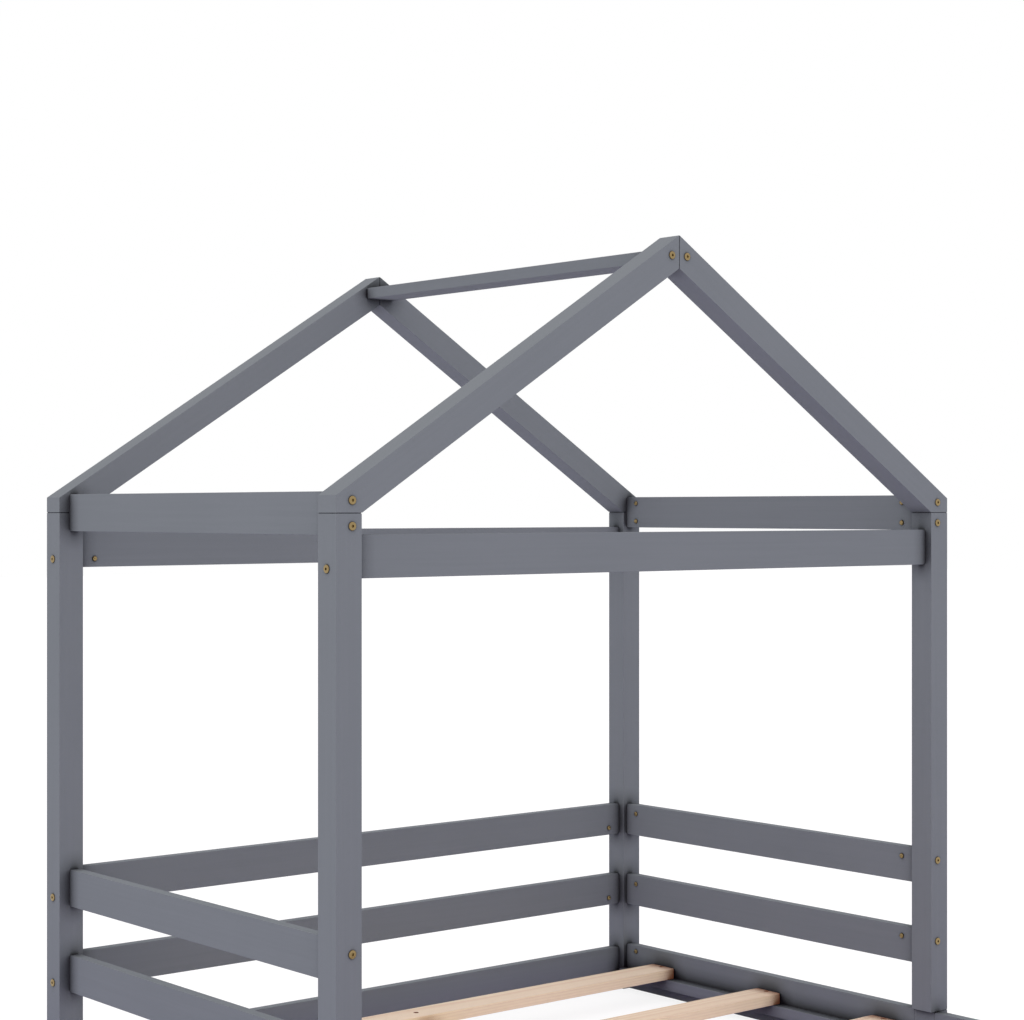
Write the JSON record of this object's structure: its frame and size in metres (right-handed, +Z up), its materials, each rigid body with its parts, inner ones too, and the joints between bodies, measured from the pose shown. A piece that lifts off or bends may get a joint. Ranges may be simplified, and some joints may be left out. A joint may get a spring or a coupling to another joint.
{
  "type": "house bed",
  "caption": "Low slatted floor bed of painted boards, with guard rails and an open gabled house frame over its head half.",
  "frame": {"origin": "on the floor under the middle of the bed, halfway between the outermost bolt heads", "axes": "+Z up, +Y towards the head end under the house frame, +X towards the right-hand side seen from the foot end"},
  "size_m": [1.505, 1.989, 1.6025],
  "materials": {
    "painted wood": "matt grey paint",
    "natural pine": "planed, unfinished",
    "brass": "yellow passivated, satin",
    "steel": "zinc plated"
  },
  "bodies": {
    "root": {"head_post_left": "painted wood", "head_post_right": "painted wood", "foot_post_left": "painted wood", "foot_post_right": "painted wood", "mid_block_left": "painted wood", "mid_block_right": "painted wood", "head_side_rail_left": "painted wood", "head_side_rail_right": "painted wood", "foot_side_rail_left": "painted wood", "foot_side_rail_right": "painted wood", "slat_ledge_left": "painted wood", "slat_ledge_right": "painted wood", "head_rail": "painted wood", "foot_rail": "painted wood", "centre_beam": "natural pine", "slat_1": "natural pine", "slat_2": "natural pine", "slat_3": "natural pine", "slat_4": "natural pine", "slat_5": "natural pine", "slat_6": "natural pine", "house_post_left": "painted wood", "house_post_right": "painted wood", "eave_rail_left": "painted wood", "eave_rail_right": "painted wood", "ridge_board": "painted wood", "front_rafter_left": "painted wood", "front_rafter_right": "painted wood", "front_tie_beam": "painted wood", "rear_rafter_left": "painted wood", "rear_rafter_right": "painted wood", "rear_tie_beam": "painted wood", "left_guard_lower": "painted wood", "right_guard_lower": "painted wood", "rear_guard_lower": "painted wood", "left_guard_upper": "painted wood", "right_guard_upper": "painted wood", "rear_guard_upper": "painted wood", "eave_bolt_front_left_upper": "brass", "eave_bolt_front_left_lower": "brass", "eave_bolt_front_right_upper": "brass", "eave_bolt_front_right_lower": "brass", "eave_bolt_rear_left_upper": "brass", "eave_bolt_rear_left_lower": "brass", "eave_bolt_rear_right_upper": "brass", "eave_bolt_rear_right_lower": "brass", "ridge_bolt_front_left": "brass", "ridge_bolt_front_right": "brass", "ridge_bolt_rear_left": "brass", "ridge_bolt_rear_right": "brass", "tie_bolt_front_left": "brass", "tie_bolt_front_right": "brass", "tie_bolt_rear_left": "brass", "tie_bolt_rear_right": "brass", "side_rail_bolt_left": "brass", "side_rail_bolt_right": "brass", "rail_stud_left": "steel", "rail_stud_right": "steel", "post_pin_left": "steel", "post_pin_right": "steel"}
  },
  "joints": []
}
